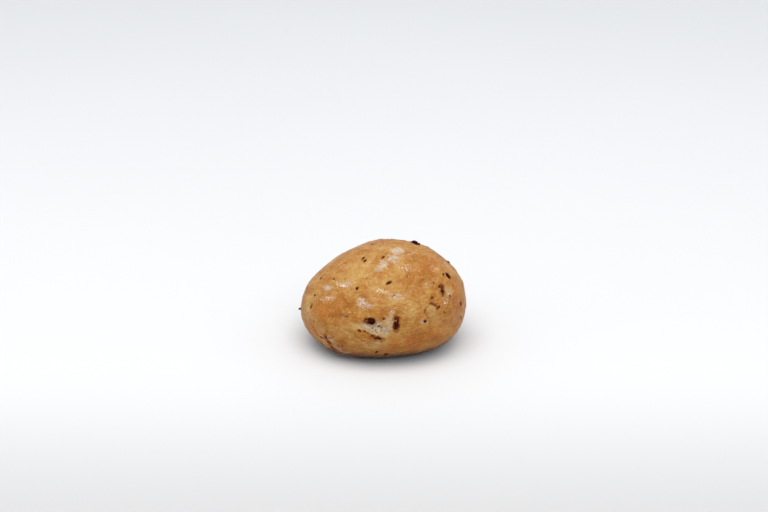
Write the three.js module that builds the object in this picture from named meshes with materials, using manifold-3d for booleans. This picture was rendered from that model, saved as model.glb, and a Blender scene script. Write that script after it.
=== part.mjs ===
// Bread roll: one uncut, hand-shaped roll with a flat base, a crown that leans a
// little to one side, uneven flanks, and ten pieces of dark dried fruit that show
// at its crust. Units are millimetres, +Z is up, the origin is at the bottom
// centre of the roll, and the front faces -Y.
import * as THREE from "three";
import Module from "manifold-3d";

const wasm = await Module();
wasm.setup();

// ---------------------------------------------------------------- dimensions
const HALF_WIDTH = 45.0;       // along X, at the widest level
const HALF_DEPTH = 42.4;       // along Y, at the widest level
const WIDEST_LEVEL = 20.8;     // height of the widest level above the base
const CROWN_RISE = 34.1;       // from the widest level up to the crown
const UNDER_DROP = 3.0;        // how far the round underside would run below the flat base
const PLAN_POWER = 2.03;       // roundness of the outline seen from above
const CROWN_POWER = 2.05;      // roundness of the profile above the widest level
const UNDER_POWER = 2.45;      // roundness of the profile below it
const CROWN_LEAN_X = 4.6;      // the crown sits to the right of the middle
const CROWN_LEAN_Y = 2.0;
const CROWN_TILT = 0.025;      // and its right side is a little higher
const CENTRE_X = -0.155;       // brings the middle of the whole box to the origin
const CENTRE_Y = -0.90;
const FIT_GAP = 0.35;          // clearance between a fruit piece and its pocket
const BASE_SNAP = 0.35;        // crust points this close to the base lie on it
const BODY_DETAIL = 16;        // subdivisions of the body's sphere
const FRUIT_DETAIL = 2;        // subdivisions of a fruit piece

// Slow waves of the outline seen from above: [waves round the roll, cosine part, sine part]
const PLAN_WAVES = [[2, 0.016, 0.002], [3, 0.001, -0.019], [4, 0.0, 0.003]];

// Broad bulges and hollows of the hand-shaped dough:
// [azimuth deg, elevation deg, half width deg, height mm]
const LUMPS = [
  [-5, 4, 14, 0.38], [20, 38, 14, -0.73], [46, 51, 14, 0.24], [80, 58, 14, -0.80],
  [112, 54, 14, 0.74], [138, 44, 14, -0.72], [157, 34, 14, -0.88], [167, 18, 14, -0.44],
  [-164, -8, 14, -0.35], [-145, -20, 14, -0.47], [-124, -28, 14, -0.42],
  [-102, -31, 14, 0.40], [-77, -30, 14, -0.86], [-14, -9, 14, -0.70],
  // the side away from the front
  [62, 16, 17, -0.85], [104, 8, 19, 0.80], [148, -4, 14, 0.50], [34, -6, 13, -0.45],
  [86, -18, 12, -0.55],
  // the front
  [-96.5, 7.5, 5.5, -0.85], [-97, -3.5, 5, 0.45], [-130, 16, 9, -0.50],
  [-114, 5, 7, 0.45], [-69, 14, 8, 0.35], [-52.5, 14.2, 4.5, 0.55], [-106, 56, 12, -0.35],
];

// Fruit pieces: place on the crust (azimuth, elevation), turn in the crust's own
// plane from the horizontal, length, width, thickness, and how far the outer side
// stands above the crust.
const FRUIT = [
  { name: "fruit_bit_front_left",  az: -100.3, el: 10.8, turn: -8,  size: [7.4, 5.2, 4.4], proud: 0.55, seed: 1 },
  { name: "fruit_bit_front_right", az: -80.5,  el: 9.2,  turn: -88, size: [8.4, 4.6, 4.2], proud: 0.80, seed: 2 },
  { name: "fruit_bit_low_front",   az: -94.8,  el: -1.7, turn: -19, size: [6.6, 2.9, 3.4], proud: 0.50, seed: 3 },
  { name: "fruit_bit_right",       az: -39.0,  el: 25.9, turn: -118, size: [6.6, 4.2, 3.8], proud: 0.70, seed: 4 },
  { name: "fruit_bit_crown",       az: 38.5,   el: 60.3, turn: -20, size: [5.6, 4.6, 4.0], proud: 1.35, seed: 5 },
  { name: "fruit_bit_low_left",    az: -133.0, el: -11.2, turn: -66, size: [10.4, 3.0, 3.0], proud: 0.55, seed: 6 },
  { name: "fruit_bit_back_high",   az: 121,    el: 35,   turn: 28,  size: [7.0, 4.6, 4.0], proud: 0.60, seed: 7 },
  { name: "fruit_bit_back_low",    az: 88,     el: 3,    turn: -72, size: [7.8, 4.2, 4.0], proud: 0.65, seed: 8 },
  { name: "fruit_bit_back_left",   az: 152,    el: 6,    turn: 12,  size: [6.0, 3.6, 3.6], proud: 0.55, seed: 9 },
  { name: "fruit_bit_back_right",  az: 24,     el: 13,   turn: 60,  size: [6.6, 4.4, 3.8], proud: 0.60, seed: 10 },
];

const CRUST_COLOR = 0xba8448;
const FRUIT_COLOR = 0x4a2013;

// ------------------------------------------------------------------- helpers
const rad = THREE.MathUtils.degToRad;

function direction(azimuth, elevation) {
  const a = rad(azimuth), e = rad(elevation);
  return new THREE.Vector3(Math.cos(e) * Math.cos(a), Math.cos(e) * Math.sin(a), Math.sin(e));
}

const LUMP_TABLE = LUMPS.map(([az, el, width, height]) =>
  ({ axis: direction(az, el), width: rad(width), height }));

// The roll's crust along a unit direction from the middle of its widest level.
function crustPoint(d) {
  const phi = Math.atan2(d.y, d.x);
  let plan = 1;
  for (const [k, c, s] of PLAN_WAVES) plan += c * Math.cos(k * phi) + s * Math.sin(k * phi);
  const drop = d.z >= 0 ? CROWN_RISE : WIDEST_LEVEL + UNDER_DROP;
  const power = d.z >= 0 ? CROWN_POWER : UNDER_POWER;
  const round = Math.pow(
    Math.pow(Math.abs(d.x) / (HALF_WIDTH * plan), PLAN_POWER) +
    Math.pow(Math.abs(d.y) / (HALF_DEPTH * plan), PLAN_POWER), 1 / PLAN_POWER);
  let r = Math.pow(Math.pow(round, power) + Math.pow(Math.abs(d.z) / drop, power), -1 / power);
  for (const { axis, width, height } of LUMP_TABLE) {
    r += height * Math.exp((d.dot(axis) - 1) / (width * width));
  }
  const p = d.clone().multiplyScalar(r);
  const rise = Math.max(0, p.z / CROWN_RISE);
  p.x += CROWN_LEAN_X * Math.pow(rise, 1.5) + CENTRE_X;
  p.y += CROWN_LEAN_Y * Math.pow(rise, 1.5) + CENTRE_Y;
  p.z += WIDEST_LEVEL + CROWN_TILT * p.x * rise;
  return p;
}

// The crust's outward normal, from two short steps along it.
function crustNormal(d) {
  const side = new THREE.Vector3(0, 0, 1).cross(d).normalize();
  const up = d.clone().cross(side).normalize();
  const step = 2e-3;
  const at = (v, s) => crustPoint(d.clone().addScaledVector(v, s).normalize());
  const a = at(side, step).sub(at(side, -step));
  const b = at(up, step).sub(at(up, -step));
  return a.cross(b).normalize();
}

// Joins the vertices of an unindexed ball that lie on one another.
function weld(points, tolerance = 1e-4) {
  const cells = new Map(), vertices = [], index = [];
  const key = (x, y, z) => `${x},${y},${z}`;
  for (const p of points) {
    const c = [p.x, p.y, p.z].map((v) => Math.round(v / (4 * tolerance)));
    let found = -1;
    for (let i = -1; i <= 1 && found < 0; i++) for (let j = -1; j <= 1 && found < 0; j++)
      for (let k = -1; k <= 1 && found < 0; k++) {
        for (const v of cells.get(key(c[0] + i, c[1] + j, c[2] + k)) ?? []) {
          if (vertices[v].distanceTo(p) < tolerance) { found = v; break; }
        }
      }
    if (found < 0) {
      found = vertices.push(p.clone()) - 1;
      const id = key(...c);
      cells.set(id, [...(cells.get(id) ?? []), found]);
    }
    index.push(found);
  }
  return { vertices, index };
}

function ball(detail) {
  const position = new THREE.IcosahedronGeometry(1, detail).getAttribute("position");
  const points = [];
  for (let i = 0; i < position.count; i++) {
    points.push(new THREE.Vector3().fromBufferAttribute(position, i).normalize());
  }
  return weld(points);
}

function solid({ vertices, index }) {
  const vertProperties = new Float32Array(vertices.flatMap((v) => [v.x, v.y, v.z]));
  return new wasm.Manifold(new wasm.Mesh({
    numProp: 3, vertProperties, triVerts: new Uint32Array(index),
  }));
}

function geometryOf(manifold) {
  const mesh = manifold.getMesh();
  const geometry = new THREE.BufferGeometry();
  geometry.setAttribute("position", new THREE.BufferAttribute(new Float32Array(mesh.vertProperties), 3));
  geometry.setIndex(new THREE.BufferAttribute(new Uint32Array(mesh.triVerts), 1));
  geometry.computeVertexNormals();
  return geometry;
}

// A wrinkled, knobbly piece of dried fruit. `grow` adds an even margin all round.
function fruitSolid({ az, el, turn, size, proud, seed }, grow = 0) {
  const d = direction(az, el);
  const n = crustNormal(d);
  const east = new THREE.Vector3(0, 0, 1).cross(n).normalize();
  const north = n.clone().cross(east);
  const t = rad(turn);
  const along = east.clone().multiplyScalar(Math.cos(t)).addScaledVector(north, Math.sin(t));
  const across = n.clone().cross(along);
  const centre = crustPoint(d).addScaledVector(n, proud - size[2] / 2);
  const { vertices, index } = ball(FRUIT_DETAIL);
  const placed = vertices.map((v) => {
    const knob = 1 + 0.10 * Math.sin(3.1 * v.x + 2.3 * seed) * Math.cos(2.7 * v.y - 1.1 * seed)
      + 0.07 * Math.sin(5.3 * v.x - 1.7 * seed + 2 * v.z) + 0.05 * Math.cos(6.1 * v.y + 0.9 * seed);
    const x = v.x * (size[0] / 2 * knob + grow);
    const y = v.y * (size[1] / 2 * knob + grow);
    const z = v.z * (size[2] / 2 * Math.min(knob, 1.04) + grow);
    return centre.clone().addScaledVector(along, x).addScaledVector(across, y).addScaledVector(n, z);
  });
  return solid({ vertices: placed, index });
}

// ---------------------------------------------------------------------- roll
const skin = ball(BODY_DETAIL);
let body = solid({
  vertices: skin.vertices.map((d) => {
    const p = crustPoint(d);
    if (Math.abs(p.z) < BASE_SNAP) p.z = 0;
    return p;
  }),
  index: skin.index,
});

// The flat base that it was baked on.
const below = new THREE.BoxGeometry(4 * HALF_WIDTH, 4 * HALF_DEPTH, 40).translate(0, 0, -20);
const cut = below.getAttribute("position");
const corners = [];
for (let i = 0; i < below.index.count; i++) {
  corners.push(new THREE.Vector3().fromBufferAttribute(cut, below.index.getX(i)));
}
body = body.subtract(solid(weld(corners)));

// Pockets in which the fruit pieces sit.
for (const piece of FRUIT) body = body.subtract(fruitSolid(piece, FIT_GAP));

const crust = new THREE.MeshStandardMaterial({ color: CRUST_COLOR, roughness: 0.62, metalness: 0 });
const fruit = new THREE.MeshStandardMaterial({ color: FRUIT_COLOR, roughness: 0.5, metalness: 0 });

const roll = new THREE.Group();
const rollMesh = new THREE.Mesh(geometryOf(body), crust);
rollMesh.name = "roll_body";
roll.add(rollMesh);

for (const piece of FRUIT) {
  const mesh = new THREE.Mesh(geometryOf(fruitSolid(piece)), fruit);
  mesh.name = piece.name;
  roll.add(mesh);
}

export default roll;
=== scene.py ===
import math

import bpy
import numpy as np
from mathutils import Matrix, Vector


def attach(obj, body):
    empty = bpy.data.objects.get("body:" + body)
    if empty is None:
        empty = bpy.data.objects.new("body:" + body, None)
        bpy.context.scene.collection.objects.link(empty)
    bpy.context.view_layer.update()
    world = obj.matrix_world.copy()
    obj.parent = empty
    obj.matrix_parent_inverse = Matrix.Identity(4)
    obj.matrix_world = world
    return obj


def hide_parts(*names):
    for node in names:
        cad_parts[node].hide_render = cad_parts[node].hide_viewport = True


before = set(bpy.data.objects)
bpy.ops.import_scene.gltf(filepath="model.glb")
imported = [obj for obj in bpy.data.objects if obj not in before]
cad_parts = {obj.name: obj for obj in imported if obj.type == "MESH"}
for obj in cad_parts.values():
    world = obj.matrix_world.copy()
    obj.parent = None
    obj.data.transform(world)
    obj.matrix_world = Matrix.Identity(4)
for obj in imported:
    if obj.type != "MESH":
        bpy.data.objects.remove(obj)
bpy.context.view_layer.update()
scene = bpy.context.scene
MM = 0.001

# ------------------------------------------------------------------- camera
CAM_ELEVATION = 24.0      # degrees above the table, seen from the roll's middle
CAM_DISTANCE = 828.0      # mm
CAM_TARGET = np.array([0.395, -0.90, 26.0])
CAM_LENS = 70.0
FRAME_PX = 768.0
LIFT_PX = 39.7            # the roll sits this far below the middle of the frame

e0 = math.radians(CAM_ELEVATION)
cam_at = CAM_TARGET + CAM_DISTANCE * np.array([0.0, -math.cos(e0), math.sin(e0)])
e1 = e0 - math.atan(LIFT_PX / (FRAME_PX * CAM_LENS / 36.0))
cam_back = Vector((0.0, -math.cos(e1), math.sin(e1)))
cam_data = bpy.data.cameras.new("camera")
cam_data.lens = CAM_LENS
cam_data.sensor_width = 36.0
cam_data.sensor_fit = "HORIZONTAL"
cam_data.clip_start, cam_data.clip_end = 0.02, 60.0
cam_data.dof.use_dof = False
camera = bpy.data.objects.new("camera", cam_data)
camera.location = Vector([float(v) * MM for v in cam_at])
camera.rotation_mode = "QUATERNION"
camera.rotation_quaternion = (-Vector((0.0, math.cos(e1), -math.sin(e1)))).to_track_quat("Z", "Y")
scene.collection.objects.link(camera)
scene.camera = camera

# --------------------------------------------------------------- noise tools
GRADS = np.random.default_rng(11).normal(size=(256, 3))
GRADS /= np.linalg.norm(GRADS, axis=1)[:, None]


def lattice(ix, iy, iz, seed):
    h = (ix * 73856093) ^ (iy * 19349663) ^ (iz * 83492791) ^ (seed * 668265263)
    h &= 0xFFFFFFFF
    h = ((h ^ (h >> 15)) * 73244475) & 0xFFFFFFFF
    h = ((h ^ (h >> 13)) * 60493) & 0xFFFFFFFF
    return (h ^ (h >> 16)) & 0xFFFFFFFF


def noise(p, seed=0):
    """Smooth gradient noise, about -1 to 1, at points p."""
    f = np.floor(p)
    i = f.astype(np.int64)
    t = p - f
    u = t * t * t * (t * (t * 6 - 15) + 10)
    out = np.zeros(len(p))
    for cx in (0, 1):
        wx = u[:, 0] if cx else 1 - u[:, 0]
        for cy in (0, 1):
            wy = u[:, 1] if cy else 1 - u[:, 1]
            for cz in (0, 1):
                wz = u[:, 2] if cz else 1 - u[:, 2]
                g = GRADS[lattice(i[:, 0] + cx, i[:, 1] + cy, i[:, 2] + cz, seed) & 255]
                out += wx * wy * wz * (g * (t - (cx, cy, cz))).sum(1)
    return out * 1.7


def fbm(p, octaves=3, seed=0, gain=0.5):
    out, a, total = np.zeros(len(p)), 1.0, 0.0
    for k in range(octaves):
        out += a * noise(p * 2.03 ** k + 17.3 * k, seed + k)
        total += a
        a *= gain
    return out / total


def smooth(lo, hi, x):
    t = np.clip((x - lo) / (hi - lo), 0.0, 1.0)
    return t * t * (3 - 2 * t)


# ---------------------------------------------------------- the roll's shape
# The same sizes as the solid, in millimetres.
HALF_WIDTH, HALF_DEPTH = 45.0, 42.4
WIDEST_LEVEL, CROWN_RISE, UNDER_DROP = 20.8, 34.1, 3.0
PLAN_POWER, CROWN_POWER, UNDER_POWER = 2.03, 2.05, 2.45
LEAN_X, LEAN_Y, TILT = 4.6, 2.0, 0.025
CENTRE_X, CENTRE_Y = -0.155, -0.90
PLAN_WAVES = [(2, 0.016, 0.002), (3, 0.001, -0.019), (4, 0.0, 0.003)]
LUMPS = [
    (-5, 4, 14, 0.38), (20, 38, 14, -0.73), (46, 51, 14, 0.24), (80, 58, 14, -0.80),
    (112, 54, 14, 0.74), (138, 44, 14, -0.72), (157, 34, 14, -0.88), (167, 18, 14, -0.44),
    (-164, -8, 14, -0.35), (-145, -20, 14, -0.47), (-124, -28, 14, -0.42),
    (-102, -31, 14, 0.40), (-77, -30, 14, -0.86), (-14, -9, 14, -0.70),
    (62, 16, 17, -0.85), (104, 8, 19, 0.80), (148, -4, 14, 0.50), (34, -6, 13, -0.45),
    (86, -18, 12, -0.55),
    (-96.5, 7.5, 5.5, -0.85), (-97, -3.5, 5, 0.45), (-130, 16, 9, -0.50),
    (-114, 5, 7, 0.45), (-69, 14, 8, 0.35), (-52.5, 14.2, 4.5, 0.55), (-106, 56, 12, -0.35),
]


def heading(az, el):
    a, e = math.radians(az), math.radians(el)
    return np.array([math.cos(e) * math.cos(a), math.cos(e) * math.sin(a), math.sin(e)])


LUMP_AXES = np.array([heading(l[0], l[1]) for l in LUMPS])


def crust_base(d):
    """Points of the plain crust along unit directions from the middle of the widest level."""
    dx, dy, dz = d.T
    phi = np.arctan2(dy, dx)
    plan = 1.0 + sum(c * np.cos(k * phi) + s * np.sin(k * phi) for k, c, s in PLAN_WAVES)
    drop = np.where(dz >= 0, CROWN_RISE, WIDEST_LEVEL + UNDER_DROP)
    power = np.where(dz >= 0, CROWN_POWER, UNDER_POWER)
    flat = ((np.abs(dx) / (HALF_WIDTH * plan)) ** PLAN_POWER
            + (np.abs(dy) / (HALF_DEPTH * plan)) ** PLAN_POWER) ** (1 / PLAN_POWER)
    r = (flat ** power + (np.abs(dz) / drop) ** power) ** (-1 / power)
    for axis, (_, _, width, height) in zip(LUMP_AXES, LUMPS):
        r = r + height * np.exp((d @ axis - 1) / math.radians(width) ** 2)
    p = d * r[:, None]
    rise = np.clip(p[:, 2] / CROWN_RISE, 0, None)
    p[:, 0] += LEAN_X * rise ** 1.5 + CENTRE_X
    p[:, 1] += LEAN_Y * rise ** 1.5 + CENTRE_Y
    p[:, 2] += WIDEST_LEVEL + TILT * p[:, 0] * rise
    return p


def crust_normal(d, step=2e-3):
    side = np.cross(np.array([0.0, 0.0, 1.0]), d)
    side[np.linalg.norm(side, axis=1) < 1e-9] = (1.0, 0.0, 0.0)
    side /= np.linalg.norm(side, axis=1)[:, None]
    up = np.cross(d, side)

    def at(v, s):
        q = d + v * s
        return crust_base(q / np.linalg.norm(q, axis=1)[:, None])

    n = np.cross(at(side, step) - at(side, -step), at(up, step) - at(up, -step))
    return n / np.linalg.norm(n, axis=1)[:, None]


class Spot:
    """A place on the crust with its own flat axes, for a feature of a given size."""

    def __init__(self, az, el, turn=0.0):
        d = heading(az, el)
        self.d = d
        self.p = crust_base(d[None])[0]
        self.n = crust_normal(d[None])[0]
        east = np.cross([0.0, 0.0, 1.0], self.n)
        east /= np.linalg.norm(east)
        north = np.cross(self.n, east)
        t = math.radians(turn)
        self.along = east * math.cos(t) + north * math.sin(t)
        self.across = np.cross(self.n, self.along)

    def near(self, d, p, reach):
        """Indices of the points within reach mm, and their two flat coordinates."""
        k = np.nonzero((d @ self.d > 0.5) & (((p - self.p) ** 2).sum(1) < reach * reach))[0]
        rel = p[k] - self.p
        return k, rel @ self.along, rel @ self.across


# ------------------------------------------------------------------ features
# Fruit pieces: node, azimuth, elevation, turn, size in mm, height above crust, seed, and
# the openings in the skin over them: (along, across, half length, half width) in mm.
FRUIT = [
    ("fruit_bit_front_left", -100.3, 10.8, -8, (7.4, 5.2, 4.4), 0.55, 1,
     [(0.2, 0.0, 2.2, 1.7), (-1.9, 0.2, 1.3, 1.1)]),
    ("fruit_bit_front_right", -80.5, 9.2, -88, (8.4, 4.6, 4.2), 0.80, 2,
     [(1.1, -0.1, 2.3, 1.55), (-2.9, 0.3, 0.85, 1.25), (-1.4, 0.8, 0.9, 0.45)]),
    ("fruit_bit_low_front", -94.8, -1.7, -19, (6.6, 2.9, 3.4), 0.50, 3,
     [(0.4, 0.0, 2.2, 0.82), (-2.4, 0.1, 0.5, 0.45)]),
    ("fruit_bit_right", -39.0, 25.9, -118, (6.6, 4.2, 3.8), 0.70, 4,
     [(-1.7, -0.2, 1.10, 1.55), (-2.1, 1.3, 0.6, 0.60), (0.9, 0.3, 0.95, 1.20), (2.3, 0.7, 0.7, 0.6)]),
    ("fruit_bit_crown", 38.5, 60.3, -20, (5.6, 4.6, 4.0), 1.35, 5,
     [(0.0, 0.0, 2.9, 2.4)]),
    ("fruit_bit_low_left", -133.0, -11.2, -66, (10.4, 3.0, 3.0), 0.55, 6,
     [(-0.2, 0.2, 1.25, 0.95), (3.6, -0.1, 1.3, 0.55), (-3.6, 0.3, 0.8, 0.6)]),
    ("fruit_bit_back_high", 121, 35, 28, (7.0, 4.6, 4.0), 0.60, 7,
     [(-0.8, 0.2, 1.9, 1.5), (1.9, -0.4, 1.0, 0.9)]),
    ("fruit_bit_back_low", 88, 3, -72, (7.8, 4.2, 4.0), 0.65, 8,
     [(0.6, 0.1, 2.6, 1.5), (-2.7, -0.2, 0.8, 1.0)]),
    ("fruit_bit_back_left", 152, 6, 12, (6.0, 3.6, 3.6), 0.55, 9,
     [(0.0, 0.1, 1.9, 1.1), (1.9, -0.5, 0.7, 0.6)]),
    ("fruit_bit_back_right", 24, 13, 60, (6.6, 4.4, 3.8), 0.60, 10,
     [(0.9, 0.1, 1.6, 1.5), (-1.7, -0.3, 1.1, 0.9)]),
]

# Patches: azimuth, elevation, turn, half length, half width (mm), strength.
PALE = [  # less browned or torn dough
    (-95.5, 5.9, -10, 8.0, 3.8, 1.00), (-84.7, 10.8, -90, 4.8, 3.7, 0.75),
    (-69.7, 14.7, -6, 6.0, 3.7, 0.30), (-96.7, -8.2, 3, 6.4, 3.6, 0.50),
    (-114.8, 6.5, 1, 7.3, 2.4, 0.45), (-60.0, 8.6, -5, 3.4, 1.8, 0.55),
    (-32.2, 23.6, -30, 4.4, 2.6, 0.62), (-121.4, 1.5, 13, 6.2, 2.3, 0.25),
    (-84.3, 16.6, 90, 2.6, 2.1, 0.50), (-76.6, 26.3, -2, 3.7, 2.2, 0.25),
    # unseen sides
    (119, 33, 20, 6.0, 4.0, 0.60), (90, 6, -70, 6.0, 4.0, 0.60), (150, 4, 10, 6.5, 3.4, 0.75),
    (26, 11, 30, 5.0, 4.2, 0.55), (58, 24, 10, 8.0, 3.0, 0.40), (170, 22, 0, 6.0, 3.0, 0.35),
    (108, -10, 5, 9.0, 3.0, 0.40), (2, 2, 0, 6.0, 3.4, 0.35),
]
FLOUR_AND_GLINTS = [  # whitish, dry, dusty skin, and a few painted glints
    (-59.1, 79.6, -37, 4.2, 3.6, 0.92), (-85.3, 66.7, 40, 4.6, 3.2, 0.80),
    (-101.4, 60.8, 66, 3.5, 2.9, 0.75), (-107.3, 53.6, 32, 2.7, 1.9, 0.70),
    (-57.7, 67.9, 26, 4.0, 3.6, 0.35), (-62.4, 52.8, -5, 4.9, 2.9, 0.28),
    (-73.0, 73.5, 20, 6.5, 3.0, 0.52), (-94.0, 64.0, 50, 6.0, 3.0, 0.52),
    (-147.2, 26.6, 9, 3.8, 1.7, 0.90), (-131.4, 34.9, 4, 3.3, 2.2, 0.62),
    (-139.5, 33.3, 0, 2.7, 1.8, 0.50), (-139.1, 21.1, 18, 4.5, 1.6, 0.50),
    (-144.6, 17.1, 15, 2.9, 1.3, 0.35), (-109.9, 23.9, -12, 3.3, 2.4, 0.75),
    (-104.4, 22.0, 3, 2.7, 1.9, 0.70), (-81.7, 29.2, -1, 3.8, 2.2, 0.72),
    (-51.1, 33.4, 30, 2.3, 1.9, 0.50), (-33.6, 20.8, -40, 2.8, 1.5, 0.70),
    (-65.4, 34.9, 15, 2.0, 1.7, 0.35), (-120.9, 11.8, 11, 3.5, 1.2, 0.30),
    (-60.5, 8.5, -27, 1.9, 1.6, 0.55), (-84.4, 17.9, 89, 2.1, 1.6, 0.45),
    (-20.5, 41.4, -6, 4.9, 2.4, 0.25), (-130.8, -6.7, 40, 2.6, 2.1, 0.40),
    (-122.6, -18.6, -15, 4.6, 2.4, 0.60), (-34.7, 68.0, 19, 3.4, 2.6, 0.30),
    (-95.0, 34.0, -15, 4.3, 1.4, 0.25), (-37.6, 19.4, -7, 2.2, 1.6, 0.40),
    # the three small patches on the next line are painted glints
    (-130.0, -8.6, -45, 1.3, 0.7, 0.90), (-133.2, -6.0, -10, 1.1, 0.6, 0.85), (-139.2, -6.8, -40, 1.2, 0.6, 0.80),
    (-138.6, -15.6, -40, 3.0, 1.3, 0.60), (-126.4, -15.2, -20, 3.4, 1.6, 0.55), (-43.4, 34.6, 0, 1.4, 0.8, 0.6),
    # unseen sides
    (95, 50, 20, 5.0, 3.0, 0.80), (140, 55, -30, 4.0, 2.6, 0.60), (70, 38, 5, 3.6, 2.2, 0.70),
    (160, 34, 10, 4.4, 2.0, 0.75), (112, 18, -10, 4.4, 2.0, 0.60), (40, 28, 15, 3.4, 2.0, 0.60),
    (8, 22, -12, 3.4, 2.2, 0.70), (-8, 36, 20, 4.0, 2.4, 0.55), (74, -6, 5, 4.6, 1.8, 0.50),
    (178, 4, 10, 3.2, 2.0, 0.55), (132, -12, 8, 4.6, 1.8, 0.50), (14, -10, -8, 4.0, 1.8, 0.45),
]
DARK = [  # browner skin
    (-130.5, 16.3, 12, 9.2, 3.2, 0.70), (-120.4, 12.7, 11, 5.9, 1.6, 0.35),
    (-65.9, -4.8, -6, 9.5, 4.5, 0.75), (-79.6, 17.9, 22, 3.2, 3.2, 0.30),
    (-39.6, 6.0, -31, 7.4, 5.3, 0.35), (-110.6, -0.2, 7, 5.5, 1.8, 0.25),
    (122.2, 79.4, -52, 10.3, 5.7, 0.30), (-34.1, 50.0, 1, 9.7, 5.5, 0.25),
    (-76.5, -13.9, -3, 11.9, 4.7, 0.70), (-115.8, -18.2, 2, 9.0, 5.7, 0.50),
    (-46.0, -5.1, -5, 7.6, 5.0, 0.50), (-137.2, 1.8, 26, 6.0, 3.8, 0.30),
    (-26.6, 17.5, 10, 5.3, 4.0, 0.35), (-57, 43, 0, 9.5, 6.0, 0.50), (-30, 8, 0, 8.0, 6.0, 0.35),
    (-127, 18, 10, 9.0, 4.5, 0.35), (-142, 8, 15, 6.0, 4.0, 0.25),
    (80, 22, 8, 11, 4.5, 0.55), (135, 18, -10, 9, 4.0, 0.50), (50, 2, 6, 9, 4.5, 0.60),
    (168, -6, 0, 9, 4.0, 0.50), (10, 40, 12, 9, 5.0, 0.40), (112, -4, -5, 10, 4.0, 0.50),
    (-5, -4, 8, 8, 4.0, 0.50), (98, 64, 0, 9, 6.0, 0.35),
]
GOLD = [  # lighter skin
    (-132.3, 53.1, 71, 8.9, 7.2, 0.70), (-100.4, 39.0, 3, 11.8, 4.3, 0.60),
    (-135.6, 41.8, 51, 7.5, 4.6, 0.40), (-73.8, 26.0, -3, 7.5, 3.3, 0.35),
    (-118.1, 2.8, 12, 7.1, 2.8, 0.40), (-152.3, 13.9, -8, 7.1, 5.0, 0.40),
    (-68.8, 12.5, -7, 6.6, 4.3, 0.32), (-96.9, -8.5, 4, 6.4, 3.7, 0.35),
    (-81.3, 4.6, -79, 3.9, 3.7, 0.40), (-28, 62, 0, 8.0, 5.0, 0.12),
    (105, 40, 10, 9, 5.0, 0.60), (150, 28, 20, 8, 4.5, 0.50), (64, 12, -5, 9, 4.0, 0.45),
    (22, 24, 0, 8, 4.5, 0.45), (125, 4, 5, 9, 3.6, 0.45), (0, 10, 5, 7, 4.5, 0.35),
]
# Small dark flecks: azimuth, elevation, turn, length, width (mm), tone 0 black to 1 tan.
FLECKS = [
    (-146.4, 60.2, -72, 4.4, 1.60, 0.42), (-138.7, 59.3, -83, 4.2, 1.55, 0.42),
    (-110.3, 69.2, 70, 3.9, 1.35, 0.48), (141.6, 70.4, -9, 5.6, 2.10, 0.90),
    (159.4, 79.3, -3, 4.2, 1.60, 0.92), (-89.5, 41.3, 47, 5.0, 1.90, 0.22),
    (-119.5, 33.8, 77, 2.6, 1.50, 0.15), (-154.5, 18.3, 62, 2.2, 1.30, 0.60),
    (-152.2, 10.6, 85, 3.7, 1.20, 0.45), (-173.8, 15.7, 28, 3.0, 1.50, 0.60),
    (-50.5, 23.2, 15, 2.0, 1.35, 0.50), (-26.6, 34.6, 28, 3.2, 1.40, 0.72),
    (-21.8, 31.4, 66, 5.6, 3.30, 0.00), (-32.6, 19.2, 7, 2.2, 1.20, 0.60),
    (-58.6, 8.3, 10, 2.4, 1.75, 0.48), (-90.3, 13.1, 32, 2.2, 1.20, 0.50),
    (-46.0, 15.6, 30, 2.5, 1.45, 0.50), (-48.5, 14.8, -20, 2.4, 0.90, 0.45),
    (-41.8, 10.6, -42, 2.8, 0.90, 0.60), (-20.7, 9.1, -70, 3.4, 1.70, 0.55),
    (-19.8, -1.3, -70, 3.4, 1.30, 0.60), (-107.6, 3.3, -32, 3.0, 1.40, 0.45),
    (-122.4, 12.4, 25, 3.0, 0.80, 0.75), (-132.2, 9.9, 31, 2.2, 0.80, 0.85),
    (-95.1, -16.5, 67, 3.0, 1.60, 0.35), (-87.6, -20.1, 74, 3.4, 2.20, 0.20),
    (-83.9, 30.5, 35, 2.0, 0.95, 0.80), (-68.6, 44.9, 49, 2.0, 0.75, 0.70),
    (-115.5, 43.5, 63, 1.5, 0.80, 0.75), (-148.9, 34.2, 82, 1.5, 1.00, 0.75),
    (-164.6, 28.1, -11, 2.0, 1.40, 0.65), (-43.6, 33.1, 50, 2.4, 0.75, 0.75),
    (-139.3, -9.0, -30, 2.6, 1.20, 0.45), (-121.8, -12.0, -20, 1.8, 1.00, 0.55), (-125.6, -12.2, 10, 1.5, 0.85, 0.60),
    (-93.6, 7.3, 48, 2.0, 0.90, 0.45), (-134.0, -20.6, -70, 2.6, 1.10, 0.30),
    (-98.2, 5.6, -30, 1.1, 0.70, 0.35), (-91.6, 6.2, 20, 1.2, 0.70, 0.40),
    (-96.0, 4.4, 10, 0.9, 0.60, 0.50), (-103.8, 3.2, 15, 2.2, 0.80, 0.55),
    (-130.6, 10.3, 20, 1.4, 0.80, 0.85), (-118.6, 12.6, 30, 1.6, 0.80, 0.70),
    (-47.0, 15.8, -40, 1.4, 0.80, 0.45),
]
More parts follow.
